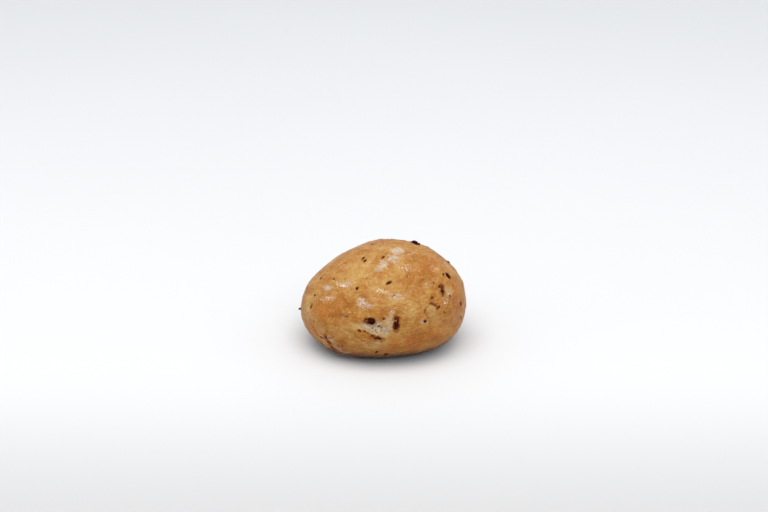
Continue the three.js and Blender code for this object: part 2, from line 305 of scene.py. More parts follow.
STAIN = [  # fruit juice that has run into the skin
    (-133.0, -9.5, -60, 4.6, 1.7, 0.55), (-131.5, -16.5, -62, 4.0, 1.7, 0.80), (-139.0, -8.6, 0, 2.2, 1.2, 0.50),
    (-104.0, 11.2, 0, 2.6, 1.6, 0.65), (-80.6, 12.4, 90, 2.4, 1.6, 0.45), (-38.6, 27.0, 0, 3.2, 1.6, 0.60), (-41.5, 28.6, 20, 2.6, 1.2, 0.60),
    (-89.5, 41.0, 45, 2.6, 1.2, 0.45), (-146.0, 60.0, 10, 3.4, 1.8, 0.50), (-139.5, 59.0, 0, 2.4, 1.4, 0.4),
    (-48.0, 16.0, -40, 2.2, 0.8, 0.30), (-25, 4, 85, 11.0, 5.0, 0.42), (-124.0, 13.0, 15, 4.2, 1.2, 0.40),
    (122, 33, 20, 4.2, 2.0, 0.50), (88, 7, 80, 3.0, 2.0, 0.50), (154, 8, 0, 3.0, 1.6, 0.5), (23, 16, 0, 3.2, 1.8, 0.5),
]
BLUSH = [  # redder, more orange skin
    (-25, 10, 85, 13.0, 6.0, 0.42), (-31, -2, 80, 8.0, 5.0, 0.35), (-48.8, -1.7, -10, 7.0, 4.0, 0.45),
    (-71, -6.8, -6, 9.0, 4.0, 0.50), (-139.8, 10.6, 10, 7.0, 3.4, 0.50), (-134, 19, 10, 7.0, 3.0, 0.40),
    (-24.5, 48.4, 0, 8.0, 5.0, 0.35), (-152, -8, 40, 5.0, 3.0, 0.50),
    (70, 8, 0, 10.0, 4.0, 0.40), (128, 12, 10, 9.0, 4.0, 0.35), (172, 10, 0, 8.0, 4.0, 0.35), (40, 42, 0, 9.0, 5.0, 0.30),
]
SPARK = [  # small rough, shining rows, with painted glints on their tips
    (-95.0, 34.0, -15, 4.8, 1.5, 1.0), (-136.1, 33.4, 5, 4.5, 2.4, 0.8), (-139.1, 21.1, 18, 4.5, 1.6, 0.8),
    (-69.3, 53.9, -5, 4.5, 3.4, 0.7), (-32.3, 42.9, -20, 3.5, 2.6, 0.7), (-38.6, 16.9, 10, 2.6, 2.0, 0.8),
    (-84.3, 17.0, 80, 2.2, 1.5, 0.8), (-72.0, 32.0, 0, 3.5, 1.8, 0.5), (-109.9, 23.9, -12, 3.3, 2.4, 0.6),
    (-154.0, 2.0, 60, 2.6, 1.4, 0.6), (-64.0, 71.0, 10, 5.0, 4.0, 0.5), (-150.0, 45.0, 30, 5.0, 2.2, 0.5),
    (100, 44, 10, 5.0, 2.0, 0.8), (60, 30, -10, 4.4, 2.0, 0.7), (146, 24, 10, 4.4, 1.8, 0.8),
    (20, 30, 5, 4.0, 1.8, 0.7), (170, 40, 0, 4.2, 2.0, 0.6), (84, 14, -5, 4.0, 1.6, 0.6),
]
EDGE_FLAKES = [  # flakes that stand up off the crust: az, el, turn, length, width, rise, tone
    (-171.4, 0.4, 30, 2.2, 0.9, 1.1, 0.42), (9.0, 33.0, -30, 1.8, 1.2, 0.7, 0.65),
    (88.0, 68.5, 10, 1.8, 1.4, 0.6, 1.0),
]

rng = np.random.default_rng(2024)


def scatter(count, gap, keep, taken=()):
    """Directions well apart from one another, where keep(az, el) allows."""
    found = [heading(a, e) for a, e in taken]
    start = len(found)
    while len(found) < start + count:
        v = rng.normal(size=3)
        v /= np.linalg.norm(v)
        az, el = math.degrees(math.atan2(v[1], v[0])), math.degrees(math.asin(v[2]))
        if keep(az, el) and all(v @ o < math.cos(math.radians(gap)) for o in found):
            found.append(v)
    return [(math.degrees(math.atan2(v[1], v[0])), math.degrees(math.asin(v[2]))) for v in found[start:]]


def unseen(az, el):
    """The sides that the photograph doesn't show."""
    return -26 < el < 62 and (az > 6 and az < 178)


taken = [(f[0], f[1]) for f in FLECKS] + [(f[1], f[2]) for f in FRUIT]
for az, el in scatter(30, 9, unseen, taken):
    FLECKS.append((az, el, rng.uniform(-90, 90), rng.uniform(1.4, 3.8), rng.uniform(0.9, 1.6), rng.choice([0.1, 0.25, 0.35, 0.5, 0.6])))

FLECKS = [(az, el, turn, length * 0.70, width * 0.84, tone) for az, el, turn, length, width, tone in FLECKS]
BLISTERS = [(az, el, rng.uniform(0.9, 2.6), rng.uniform(0.06, 0.2)) for az, el in scatter(150, 5, lambda a, e: e > -22)]
PITS = [(az, el, rng.uniform(0.35, 0.8), rng.uniform(0.12, 0.35)) for az, el in scatter(170, 4, lambda a, e: e > -28)]

# Creases: a chain of (azimuth, elevation) places, width and depth in mm.
CREASES = [
    ([(-107.8, 3.6), (-104, 2.4), (-101, 1.5)], 0.70, 0.60),
    ([(-101, 1.5), (-98, 0.0), (-95, -1.0), (-88.0, -2.8)], 0.60, 0.38),
    ([(-134, 8.0), (-127, 10.8), (-119.0, 12.4), (-113, 11.5)], 0.8, 0.20),
    ([(-141, 3.0), (-131, 3.4), (-122, 4.6), (-114, 3.8)], 0.9, 0.28),
    ([(-139, -5.0), (-135, -8.5), (-132, -13.0), (-132, -18.0), (-134, -22.0)], 0.8, 0.24),
    ([(-127, -1.5), (-119, -1.0), (-110, -3.0)], 0.8, 0.22),
    ([(-55.8, 20.4), (-52.0, 19.2), (-48.8, 16.2)], 0.75, 0.42),
    ([(-62, -18), (-52, -17), (-44, -19)], 0.7, 0.30),
    ([(140, 2), (150, 3.5), (161, 2.0)], 0.7, 0.50),
    ([(72, 10), (80, 8), (90, 8.5), (97, 7)], 0.7, 0.35),
    ([(112, 30), (120, 31), (128, 29)], 0.7, 0.40),
    ([(14, 8), (24, 7), (33, 9)], 0.7, 0.40),
]

# Smooth, floury lips of skin low down: a chain of places, half width and height in mm.
LIPS = [
    ([(-147, -15.5), (-142.5, -20.0), (-138.5, -24.0)], 1.3, 0.55),
    ([(-133.5, -24.5), (-127.5, -24.0), (-121.0, -26.0), (-114.0, -28.0)], 1.7, 0.75),
    ([(60, -22), (72, -24), (84, -25)], 1.5, 0.5), ([(150, -20), (163, -22), (176, -20)], 1.4, 0.5),
    ([(8, -20), (20, -22), (30, -21)], 1.4, 0.4),
]


def chain_distance(p, chain):
    """Distance in mm from points p to a chain of places, and how far above it they are."""
    ends = [Spot(az, el) for az, el in chain]
    best, side = np.full(len(p), 1e9), np.zeros(len(p))
    for s, t in zip(ends, ends[1:]):
        seg = t.p - s.p
        k = np.nonzero(((p - (s.p + t.p) / 2) ** 2).sum(1) < (np.linalg.norm(seg) / 2 + 5) ** 2)[0]
        rel = p[k] - s.p
        f = np.clip(rel @ seg / (seg @ seg), 0, 1)
        off = rel - f[:, None] * seg
        dist = np.sqrt((off ** 2).sum(1))
        better = dist < best[k]
        best[k[better]] = dist[better]
        side[k[better]] = off[better][:, 2]
    return best, side


def crust_field(d):
    """The finished crust along directions d: its points and its looks fields."""
    p, n = crust_base(d), crust_normal(d)
    h = np.zeros(len(d))
    look = {k: np.zeros(len(d)) for k in ("tone", "pale", "flour", "stain", "hollow_shade", "spark", "dark", "gold", "blush")}
    above = smooth(1.0, 7.0, p[:, 2])
    warp = np.stack([fbm(p / 9, 2, 31), fbm(p / 9, 2, 33), fbm(p / 9, 2, 35)], 1)
    q = p + 2.2 * warp
    ragged = 0.6 * noise(p / 1.9, 41) + 0.4 * noise(p / 0.9, 42)

    # a little more dough low on the left, a little less low on the right
    for az, el, width, height in ((-133, -22, 9, 0.9), (-64, -30, 13, -0.35), (-90, -33, 10, 0.25)):
        h += height * np.exp((d @ heading(az, el) - 1) / math.radians(width) ** 2)

    # the hand-shaped, taut skin
    h += 0.55 * fbm(p / 14, 2, 1) * above
    flatq = q * np.array([1.0, 1.0, 1.5])
    dimples = fbm(flatq / 6.5, 2, 3)
    h += 0.40 * dimples
    calm = smooth(-0.25, 0.35, fbm(p / 16, 2, 6))
    fold = 1 - np.abs(noise(flatq / 4.6, 5))
    h -= 0.24 * smooth(0.80, 1.0, fold) * (0.35 + 0.65 * calm)
    fine = 1 - np.abs(noise(flatq / 2.1, 8))
    h -= 0.11 * smooth(0.65, 1.0, fine) * (0.5 + 0.5 * calm)
    h += 0.085 * fbm(p / 1.5, 2, 9)
    look["tone"] += 0.30 * smooth(0.85, 1.0, fold) - 0.75 * dimples

    for az, el, radius, height in BLISTERS:
        k, u, v = Spot(az, el).near(d, p, radius * 2.6)
        rho = np.hypot(u, v) / radius
        h[k] += height * np.exp(-rho ** 2 * 1.4) - 0.25 * height * np.exp(-((rho - 1.15) / 0.28) ** 2)
        look["tone"][k] += 0.22 * np.exp(-rho ** 2) * (1 if height < 0.14 else -1)
    # pits, sunk in and darkened inside with painted shade
    for az, el, radius, depth in PITS:
        k, u, v = Spot(az, el).near(d, p, radius * 3)
        dent = np.exp(-(np.hypot(u, v) / radius) ** 2)
        h[k] -= depth * dent
        look["hollow_shade"][k] = np.maximum(look["hollow_shade"][k], 0.45 * dent)

    # patches
    def patch(rows, name, edge=0.45, rough=0.30):
        for az, el, turn, a, b, strength in rows:
            k, u, v = Spot(az, el, turn).near(d, p, 2.2 * max(a, b) + 2)
            rho = np.hypot(u / a, v / b) + rough * ragged[k] + 0.25 * warp[k, 0]
            m = strength * (1 - smooth(1 - edge, 1 + edge, rho))
            look[name][k] = np.maximum(look[name][k], m)

    patch(PALE, "pale")
    # the flour field also carries the painted glints of three small patches
    patch(FLOUR_AND_GLINTS, "flour", 0.7, 0.35)
    patch(SPARK, "spark", 0.8, 0.3)
    patch(STAIN, "stain", 0.8, 0.5)
    patch(DARK, "dark", 0.8, 0.2)
    patch(GOLD, "gold", 0.8, 0.2)
    patch(BLUSH, "blush", 0.8, 0.3)
    look["tone"] += 0.9 * look.pop("gold") - 0.9 * look.pop("dark")

    # flour is left in a broken band just above the base
    phi = np.arctan2(p[:, 1], p[:, 0])
    turn_round = np.stack([np.cos(phi) * 5, np.sin(phi) * 5, p[:, 2] / 30], 1)
    band = np.exp(-((p[:, 2] - 2.6) / 1.7) ** 2) * smooth(-0.25, 0.5, noise(turn_round, 77) + 0.25 * np.cos(phi + 2.25))
    look["flour"] = np.maximum(look["flour"], 0.55 * band)

    torn = smooth(0.35, 0.8, look["pale"])
    h -= torn * (0.30 + 0.20 * fbm(p / 1.9, 3, 51) + 0.14 * noise(p / 1.0, 52))
    h += 0.14 * np.exp(-((look["pale"] - 0.38) / 0.10) ** 2)
    dusty = smooth(0.2, 0.7, look["flour"]) * above
    h += dusty * (0.04 + 0.06 * noise(p / 1.3, 55))
    h += look["spark"] * (0.11 * noise(flatq / 1.5, 57) + 0.05 * noise(p / 0.9, 58))

    # creases, darkened along their bottoms with painted shade
    for chain, width, depth in CREASES:
        best, side = chain_distance(p, chain)
        k = np.nonzero(best < 4)[0]
        x = best[k] + 0.30 * ragged[k]
        uneven = 0.30 + 0.70 * smooth(-0.35, 0.45, noise(p[k] / 3.1, 65))
        depth = depth * uneven
        h[k] -= depth * np.exp(-(x / width) ** 2)
        h[k] += 0.35 * depth * np.exp(-((x - 1.6 * width) / (1.0 * width)) ** 2) * (side[k] < 0)
        look["hollow_shade"][k] = np.maximum(look["hollow_shade"][k], 0.70 * np.exp(-(x / (0.7 * width)) ** 2) * np.minimum(1.0, depth / 0.45))

    # lips of skin, with a line of painted shade below them
    for chain, width, height in LIPS:
        best, _ = chain_distance(p, chain)
        x = best + 0.25 * ragged
        h += height * np.exp(-(x / width) ** 2)
        look["flour"] = np.maximum(look["flour"], (0.62 if chain[0][0] < 0 else 0.22) * np.exp(-(x / (0.9 * width)) ** 2))
        look["hollow_shade"] = np.maximum(look["hollow_shade"], 0.30 * np.exp(-((x - 1.9 * width) / 0.5) ** 2))

    # the round blister low on the right, with a painted shadow along its upper and left edge
    k, u, v = Spot(-53.0, 14.2).near(d, p, 8)
    rho = np.hypot(u, v)
    rho = rho * (1 + 0.10 * noise(p[k] / 3.0, 66)) + 0.12 * ragged[k]
    h[k] += 0.24 * (1 - smooth(2.0, 4.2, rho))
    ang = np.degrees(np.arctan2(v, u))
    top = np.exp(-((ang - 58) / 54) ** 2)
    left = 0.74 * np.exp(-((ang - 155) / 50) ** 2) + 0.66 * np.exp(-((ang + 155) / 48) ** 2)
    line = (0.12 + np.maximum(top, left)) * (0.92 + 0.3 * noise(p[k] / 1.4, 67))
    edge = np.exp(-((rho - 3.9) / (0.52 + 0.50 * top)) ** 2)
    h[k] -= 0.34 * edge * line
    look["hollow_shade"][k] = np.maximum(look["hollow_shade"][k], np.clip(0.98 * line, 0, 1) * edge)
    look["pale"][k] = np.maximum(look["pale"][k], 0.46 * (1 - smooth(1.8, 4.4, rho)))

    # small flecks lie in little pits, with a juice stain round them and painted shade in the pits
    for az, el, turn, length, width, tone in FLECKS:
        k, u, v = Spot(az, el, turn).near(d, p, length + 2)
        rho = np.hypot(u / (length / 2 + 0.2), v / (width / 2 + 0.2)) + 0.2 * ragged[k]
        inside = 1 - smooth(0.7, 1.25, rho)
        h[k] -= (0.22 + 0.3 * (1 - tone) ** 2) * inside
        h[k] += 0.08 * np.exp(-((rho - 1.5) / 0.3) ** 2)
        look["stain"][k] = np.maximum(look["stain"][k], (0.75 - 0.6 * tone) * (1 - smooth(0.8, 1.7, rho)))
        look["hollow_shade"][k] = np.maximum(look["hollow_shade"][k], (0.68 - 0.55 * tone) * inside)

    # the skin runs over the larger fruit pieces and is torn open in places, with painted shade at the openings' edges
    for _, az, el, turn, size, proud, seed, openings in FRUIT:
        spot = Spot(az, el, turn)
        k, u, v = spot.near(d, p, size[0] / 2 + 5)
        drop = (p[k] - spot.p) @ spot.n
        over = np.clip(1 - (u / (size[0] / 2)) ** 2 - (v / (size[1] / 2)) ** 2, 0, 1)
        top = proud - size[2] / 2 * (1 - np.sqrt(over)) - drop
        covered = np.where(over > 0, np.maximum(h[k], np.minimum(top + 0.22, 1.5)), h[k])
        rip = 0.30 * noise(p[k] / 1.6, 60 + seed) + 0.22 * noise(p[k] / 0.8, 61 + seed)
        near_hole = np.full(len(k), 9.0)
        for cu, cv, ha, hb in openings:
            rho = np.hypot((u - cu) / ha, (v - cv) / hb)
            near_hole = np.minimum(near_hole, (rho - 1) * min(ha, hb) + rip)
        hole = 1 - smooth(-0.28, 0.28, near_hole)
        depth = 1.9 if seed == 1 else 1.15
        h[k] = covered * (1 - hole) + np.maximum(np.minimum(top - depth, covered - 0.8), -0.7 - depth) * hole
        h[k] += 0.16 * np.exp(-((near_hole - 0.6) / 0.4) ** 2)
        look["hollow_shade"][k] = np.maximum(look["hollow_shade"][k], 1 - smooth(-0.3, 0.35, near_hole))
        look["stain"][k] = np.maximum(look["stain"][k], 0.9 * (1 - smooth(0.2, 1.5, near_hole + rip)))
        look["flour"][k] *= smooth(-0.2, 0.8, near_hole)

    # low down the skin is drawn in folds to the base
    low = 1 - smooth(1.5, 9.0, p[:, 2])
    ring = np.stack([np.cos(phi) * 14, np.sin(phi) * 14, p[:, 2] / 9], 1)
    h += low * (0.22 * noise(ring, 71) + 0.14 * noise(p / np.array([2.6, 2.6, 1.1]), 73))
    p2 = p + n * h[:, None]
    base = p2[:, 2] < 0.35
    dust = np.clip(0.10 + 0.12 * fbm(p / 6, 2, 81) + 0.10 * fbm(p / 1.6, 2, 83), 0, 0.4)
    inner = 1 - smooth(0.55, 1.0, np.hypot(p2[:, 0] / 30.0, p2[:, 1] / 28.0))
    p2[:, 2] = np.where(p2[:, 2] < 0, 0, p2[:, 2])
    p2[:, 2] = np.where(base, np.maximum(p2[:, 2], dust * inner), p2[:, 2])
    look["base"] = 1 - smooth(0.2, 2.2, p2[:, 2])
    # the dark bottom edge, stronger at the front: partly browner baking, partly painted shade where the roll meets the
    # floor
    height = p2[:, 2] + 1.1 * ragged + 2.0 * warp[:, 0] - 1.2 * smooth(0.6, 0.95, np.abs(np.cos(phi)))
    look["rim_browning_and_shade"] = 0.62 * (1 - smooth(6.2, 10.2, height)) + 0.36 * (1 - smooth(3.4, 6.4, height))
    look["rim_browning_and_shade"] *= 0.45 + 0.55 * smooth(-0.12, -0.62, np.sin(phi))
    floury = smooth(0.2, 0.6, look["flour"]) * smooth(0.4, 0.0, np.cos(phi))
    look["rim_browning_and_shade"] *= smooth(-0.02, 0.25, p2[:, 2]) * (1 - 0.8 * floury)
    # darker towards the base: partly browner baking, partly painted shade
    look["low"] = 1 - smooth(2.0, 15.0, p2[:, 2] + 3.0 * warp[:, 1])
    return p2, n, look


# ----------------------------------------------------------------- mesh tools
def make_object(name, verts_mm, faces, smooth_shade=True):
    mesh = bpy.data.meshes.new(name)
    nv, nf = len(verts_mm), len(faces)
    k = faces.shape[1]
    mesh.vertices.add(nv)
    mesh.vertices.foreach_set("co", (verts_mm * MM).astype(np.float32).ravel())
    mesh.loops.add(nf * k)
    mesh.loops.foreach_set("vertex_index", faces.astype(np.int32).ravel())
    mesh.polygons.add(nf)
    mesh.polygons.foreach_set("loop_start", np.arange(0, nf * k, k, dtype=np.int32))
    mesh.update(calc_edges=True)
    mesh.validate()
    mesh.polygons.foreach_set("use_smooth", np.full(nf, smooth_shade))
    obj = bpy.data.objects.new(name, mesh)
    scene.collection.objects.link(obj)
    return obj


def add_field(mesh, name, values):
    a = mesh.attributes.new(name, "FLOAT", "POINT")
    a.data.foreach_set("value", values.astype(np.float32))


def cube_ball(n):
    """A ball of quads from a cube: unit directions, quads, and a chart for each face."""
    t = np.tan(np.linspace(-math.pi / 4, math.pi / 4, n + 1))
    keys, points, quads, uvs = {}, [], [], []
    faces = [((1, 0, 0), (0, 1, 0), (0, 0, 1)), ((-1, 0, 0), (0, -1, 0), (0, 0, 1)),
             ((0, 1, 0), (-1, 0, 0), (0, 0, 1)), ((0, -1, 0), (1, 0, 0), (0, 0, 1)),
             ((0, 0, 1), (1, 0, 0), (0, 1, 0)), ((0, 0, -1), (-1, 0, 0), (0, 1, 0))]
    for f, (c, a, b) in enumerate(faces):
        c, a, b = (np.array(v, float) for v in (c, a, b))
        index = np.empty((n + 1, n + 1), int)
        for j in range(n + 1):
            for i in range(n + 1):
                v = c + a * t[i] + b * t[j]
                if 0 < i < n and 0 < j < n:
                    index[j, i] = len(points)
                    points.append(v)
                else:
                    key = tuple(np.round(v, 6))
                    if key not in keys:
                        keys[key] = len(points)
                        points.append(v)
                    index[j, i] = keys[key]
        quads.append(np.stack([index[:-1, :-1], index[:-1, 1:], index[1:, 1:], index[1:, :-1]], -1).reshape(-1, 4))
        i, j = np.meshgrid(np.arange(n), np.arange(n))
        cx, cy = f % 3, f // 3
        pad = 0.004
        corner = [(i, j), (i + 1, j), (i + 1, j + 1), (i, j + 1)]
        uv = np.stack([np.stack([(cx + pad + (1 - 2 * pad) * ci / n) / 3, (cy + pad + (1 - 2 * pad) * cj / n) / 2], -1)
                       for ci, cj in corner], 2)
        uvs.append(uv.reshape(-1, 2))
    d = np.array(points)
    return d / np.linalg.norm(d, axis=1)[:, None], np.concatenate(quads), np.concatenate(uvs)


def ico_ball(levels):
    g = (1 + 5 ** 0.5) / 2
    v = [(-1, g, 0), (1, g, 0), (-1, -g, 0), (1, -g, 0), (0, -1, g), (0, 1, g),
         (0, -1, -g), (0, 1, -g), (g, 0, -1), (g, 0, 1), (-g, 0, -1), (-g, 0, 1)]
    f = [(0, 11, 5), (0, 5, 1), (0, 1, 7), (0, 7, 10), (0, 10, 11), (1, 5, 9), (5, 11, 4),
         (11, 10, 2), (10, 7, 6), (7, 1, 8), (3, 9, 4), (3, 4, 2), (3, 2, 6), (3, 6, 8),
         (3, 8, 9), (4, 9, 5), (2, 4, 11), (6, 2, 10), (8, 6, 7), (9, 8, 1)]
    v = [np.array(x) / np.linalg.norm(x) for x in v]
    for _ in range(levels):
        mid, out = {}, []

        def half(a, b):
            key = (min(a, b), max(a, b))
            if key not in mid:
                m = v[a] + v[b]
                v.append(m / np.linalg.norm(m))
                mid[key] = len(v) - 1
            return mid[key]

        for a, b, c in f:
            ab, bc, ca = half(a, b), half(b, c), half(c, a)
            out += [(a, ab, ca), (b, bc, ab), (c, ca, bc), (ab, bc, ca)]
        f = out
    return np.array(v), np.array(f)


# ------------------------------------------------------------------ materials
def srgb(r, g, b):
    return tuple(((c / 255 + 0.055) / 1.055) ** 2.4 if c > 10 else c / 255 / 12.92 for c in (r, g, b)) + (1.0,)


class Nodes:
    """A small helper for node trees."""

    def __init__(self, name):
        self.mat = bpy.data.materials.new(name)
        self.mat.use_nodes = True
        self.tree = self.mat.node_tree
        self.shader = self.tree.nodes["Principled BSDF"]

    def add(self, kind, **props):
        node = self.tree.nodes.new(kind)
        for k, v in props.items():
            setattr(node, k, v)
        return node

    def link(self, a, b):
        self.tree.links.new(a, b)

    def put(self, node, key, value):
        socket = node.inputs[key]
        if isinstance(value, bpy.types.NodeSocket):
            self.link(value, socket)
        else:
            socket.default_value = value

    def coords(self, scale=(1, 1, 1)):
        tc = self.add("ShaderNodeTexCoord")
        mp = self.add("ShaderNodeMapping")
        self.link(tc.outputs["Object"], mp.inputs["Vector"])
        mp.inputs["Scale"].default_value = scale
        return mp.outputs["Vector"]

    def noise(self, vec, mm, detail=3.0, rough=0.5, distort=0.0):
        """Noise with features about mm millimetres across, 0 to 1."""
        t = self.add("ShaderNodeTexNoise")
        self.link(vec, t.inputs["Vector"])
        t.inputs["Scale"].default_value = 1000.0 / mm
        t.inputs["Detail"].default_value = detail
        t.inputs["Roughness"].default_value = rough
        t.inputs["Distortion"].default_value = distort
        return t.outputs["Fac"]

    def cells(self, vec, mm, feature="F1"):
        t = self.add("ShaderNodeTexVoronoi", feature=feature)
        self.link(vec, t.inputs["Vector"])
        t.inputs["Scale"].default_value = 1000.0 / mm
        return t.outputs["Distance"]

    def field(self, name):
        return self.add("ShaderNodeAttribute", attribute_name=name).outputs["Fac"]

    def math(self, op, a, b=0.0, clamp=False):
        m = self.add("ShaderNodeMath", operation=op, use_clamp=clamp)
        self.put(m, 0, a)
        self.put(m, 1, b)
        return m.outputs[0]

    def around(self, value, amount):
        """amount times the distance of value from a half."""
        return self.math("MULTIPLY", self.math("SUBTRACT", value, 0.5), amount)

    def total(self, *values):
        out = values[0]
        for v in values[1:]:
            out = self.math("ADD", out, v)
        return out

    def step(self, value, lo, hi, to_lo=0.0, to_hi=1.0):
        m = self.add("ShaderNodeMapRange", interpolation_type="SMOOTHSTEP")
        self.put(m, "Value", value)
        m.inputs["From Min"].default_value = lo
        m.inputs["From Max"].default_value = hi
        m.inputs["To Min"].default_value = to_lo
        m.inputs["To Max"].default_value = to_hi
        return m.outputs["Result"]

    def mix(self, fac, a, b, blend="MIX"):
        m = self.add("ShaderNodeMix", data_type="RGBA", blend_type=blend)
        self.put(m, 0, fac)
        self.put(m, 6, a)
        self.put(m, 7, b)
        return m.outputs[2]

    def ramp(self, fac, stops):
        r = self.add("ShaderNodeValToRGB")
        self.link(fac, r.inputs["Fac"])
        e = r.color_ramp.elements
        while len(e) < len(stops):
            e.new(0.5)
        for item, (pos, col) in zip(e, stops):
            item.position = pos
            item.color = col
        return r.outputs["Color"]

    def bump(self, height, mm, strength=1.0, below=None):
        b = self.add("ShaderNodeBump")
        b.inputs["Strength"].default_value = strength
        b.inputs["Distance"].default_value = mm * MM
        self.link(height, b.inputs["Height"])
        if below is not None:
            self.link(below, b.inputs["Normal"])
        return b.outputs["Normal"]


def crust_material():
    m = Nodes("crust")
    vec = m.coords()
    flat = m.coords((1.0, 1.0, 2.2))
    big = m.noise(flat, 14, 3, 0.5, 0.5)
    mid = m.noise(flat, 4.5, 4, 0.55, 0.3)
    small = m.noise(flat, 1.7, 4, 0.6)
    grain = m.noise(vec, 0.6, 3, 0.65)
    wisp = m.noise(m.coords((1.0, 1.0, 3.2)), 2.4, 5, 0.65, 0.8)
    tone = m.total(0.50, m.math("MULTIPLY", m.field("tone"), 0.26), m.around(big, 0.48), m.around(mid, 0.38),
                   m.around(small, 0.54), m.around(grain, 0.46))
    skin = m.ramp(tone, [
        (0.0, srgb(110, 54, 8)), (0.22, srgb(140, 79, 18)), (0.43, srgb(162, 103, 34)),
        (0.63, srgb(177, 131, 66)), (0.84, srgb(191, 157, 96)), (1.0, srgb(210, 183, 132))])
    # some places are redder, others more golden
    redder = m.step(m.noise(m.coords((1.0, 1.0, 1.5)), 6.0, 3, 0.55, 0.6), 0.50, 0.70)
    skin = m.mix(m.math("MULTIPLY", redder, 0.26), skin, srgb(180, 104, 58))
    golden = m.step(m.noise(m.coords((1.2, 0.9, 1.3)), 4.2, 3, 0.55, 0.6), 0.52, 0.70)
    skin = m.mix(m.math("MULTIPLY", golden, 0.32), skin, srgb(178, 138, 66))
    skin = m.mix(m.math("MULTIPLY", m.field("blush"), 0.5), skin, srgb(190, 106, 46))
    # pinprick browning and fine pale dust
    dots = m.step(m.noise(vec, 0.9, 2, 0.5), 0.60, 0.70)
    skin = m.mix(m.math("MULTIPLY", dots, 0.36), skin, srgb(116, 58, 8))
    dust = m.step(m.total(m.noise(m.coords((1.0, 1.0, 1.25)), 0.9, 4, 0.65), m.around(wisp, 1.1)), 0.56, 0.78)
    skin = m.mix(m.math("MULTIPLY", dust, m.math("SUBTRACT", 0.36, m.math("MULTIPLY", m.field("low"), 0.24))), skin, srgb(212, 180, 134))
    # less browned dough
    soft = m.step(m.total(m.field("pale"), m.around(mid, 0.6), m.around(small, 0.3)), 0.12, 0.75)
    skin = m.mix(m.math("MULTIPLY", soft, 0.55), skin, srgb(188, 158, 106))
    crumb = m.ramp(m.total(small, m.around(grain, 0.5)), [
        (0.25, srgb(132, 104, 76)), (0.5, srgb(168, 145, 118)), (0.75, srgb(206, 190, 166))])
    pale = m.step(m.total(m.field("pale"), m.around(mid, 0.45), m.around(small, 0.5)), 0.5, 0.95)
    skin = m.mix(m.math("MULTIPLY", pale, 0.85), skin, crumb)
    # whitish dry patches, broken up and streaky
    flour = m.step(m.total(m.field("flour"), m.around(wisp, 2.0), m.around(m.noise(vec, 0.9, 4, 0.7), 1.9)), 0.25, 1.05)
    white = m.ramp(m.total(grain, m.around(small, 0.6)), [(0.3, srgb(166, 142, 120)), (0.7, srgb(212, 200, 188))])
    skin = m.mix(m.math("MULTIPLY", flour, 0.85), skin, white)
    # painted glints: bright tips in the rough rows
    painted_glints = m.step(m.total(m.noise(m.coords((1.0, 1.0, 1.4)), 0.9, 3, 0.6), m.math("MULTIPLY", m.field("spark"), 0.18)), 0.62, 0.76)
    skin = m.mix(m.math("MULTIPLY", painted_glints, m.math("MULTIPLY", m.field("spark"), 0.9)), skin, srgb(236, 214, 186))
    # fruit juice baked into the crust, and painted shade in the hollows
    stain = m.step(m.total(m.field("stain"), m.around(small, 0.8)), 0.12, 0.9)
    skin = m.mix(m.math("MULTIPLY", stain, 0.70), skin, srgb(124, 56, 12))
    hollow_shade = m.step(m.field("hollow_shade"), 0.1, 0.9)
    skin = m.mix(m.math("MULTIPLY", hollow_shade, 0.82), skin, srgb(84, 36, 2))
    # darker and browner low down, partly browner baking and partly painted shade; the base itself is evenly baked, a
    # little dusty
    skin = m.mix(m.math("MULTIPLY", m.math("MULTIPLY", m.field("low"), m.math("SUBTRACT", 1.0, flour)), 0.42), skin, srgb(136, 70, 14))
    under = m.ramp(m.total(mid, m.around(small, 0.6)), [
        (0.3, srgb(110, 62, 24)), (0.6, srgb(146, 94, 42)), (0.8, srgb(186, 148, 98))])
    skin = m.mix(m.math("MULTIPLY", m.field("base"), 0.7), skin, under)
    # the bottom edge is dark brown, stronger at the front: partly browner baking, partly painted shade where the roll
    # meets the floor
    skin = m.mix(m.field("rim_browning_and_shade"), skin, srgb(58, 27, 8))
    m.link(skin, m.shader.inputs["Base Color"])
    rough = m.total(0.44, m.around(mid, 0.20), m.math("MULTIPLY", flour, 0.22), m.math("MULTIPLY", pale, 0.16),
                    m.around(small, 0.16), m.math("MULTIPLY", m.field("spark"), -0.12))
    m.link(m.math("MINIMUM", rough, 0.95), m.shader.inputs["Roughness"])
    b1 = m.bump(m.noise(flat, 2.2, 4, 0.6, 0.4), 0.45, 0.7)
    b2 = m.bump(m.noise(m.coords((1.0, 1.0, 1.6)), 0.9, 4, 0.65), 0.26, 0.8, b1)
    m.link(b2, m.shader.inputs["Normal"])
    m.shader.inputs["Specular IOR Level"].default_value = 0.16
    m.shader.inputs["Sheen Weight"].default_value = 0.06
    m.shader.inputs["Sheen Roughness"].default_value = 0.30
    m.shader.inputs["Sheen Tint"].default_value = (1.0, 0.97, 0.94, 1.0)
    m.shader.inputs["Subsurface Weight"].default_value = 0.08
    m.shader.inputs["Subsurface Radius"].default_value = (1.0, 0.5, 0.25)
    m.shader.inputs["Subsurface Scale"].default_value = 0.0008
    return m.mat


